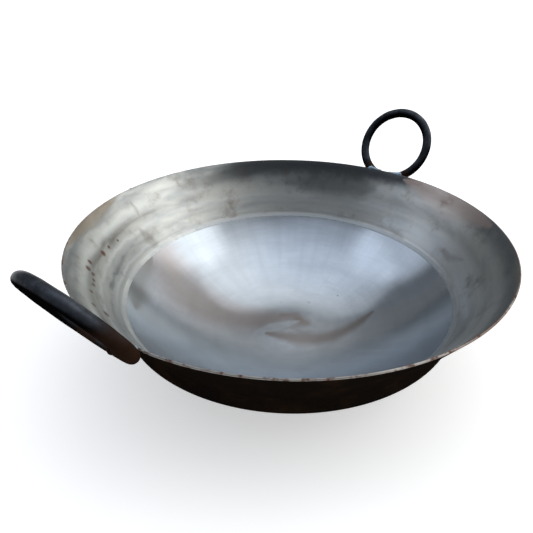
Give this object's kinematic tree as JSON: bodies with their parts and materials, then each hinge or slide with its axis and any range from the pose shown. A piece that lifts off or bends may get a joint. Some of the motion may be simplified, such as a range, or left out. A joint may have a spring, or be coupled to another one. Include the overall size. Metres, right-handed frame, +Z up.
{
  "type": "kadai",
  "caption": "Wide round-bottomed steel cooking pan: a flared wall welded to a pressed dish, with ring handles of round bar outside the rim.",
  "frame": {"origin": "middle of the flat base's underside", "axes": "+X through both handles, towards the right ring; +Z up"},
  "size_m": [0.5856, 0.4828, 0.2207],
  "materials": {
    "pan_steel": "mild steel, ground bright in rings inside, dark mill scale and rust bloom outside",
    "black_bar": "hot-rolled round bar with black mill scale",
    "weld_metal": "bare weld metal with a bluish heat tint"
  },
  "bodies": {
    "root": {"dish_bowl": "pan_steel", "flared_wall": "pan_steel", "girth_weld": "pan_steel", "wall_seam_weld": "weld_metal", "handle_ring_right": "black_bar", "handle_ring_left": "black_bar", "ring_foot_weld_right": "weld_metal", "ring_foot_weld_left": "weld_metal", "rim_weld_front_right": "weld_metal", "rim_weld_back_right": "weld_metal", "rim_weld_front_left": "weld_metal", "rim_weld_back_left": "weld_metal"}
  },
  "joints": []
}
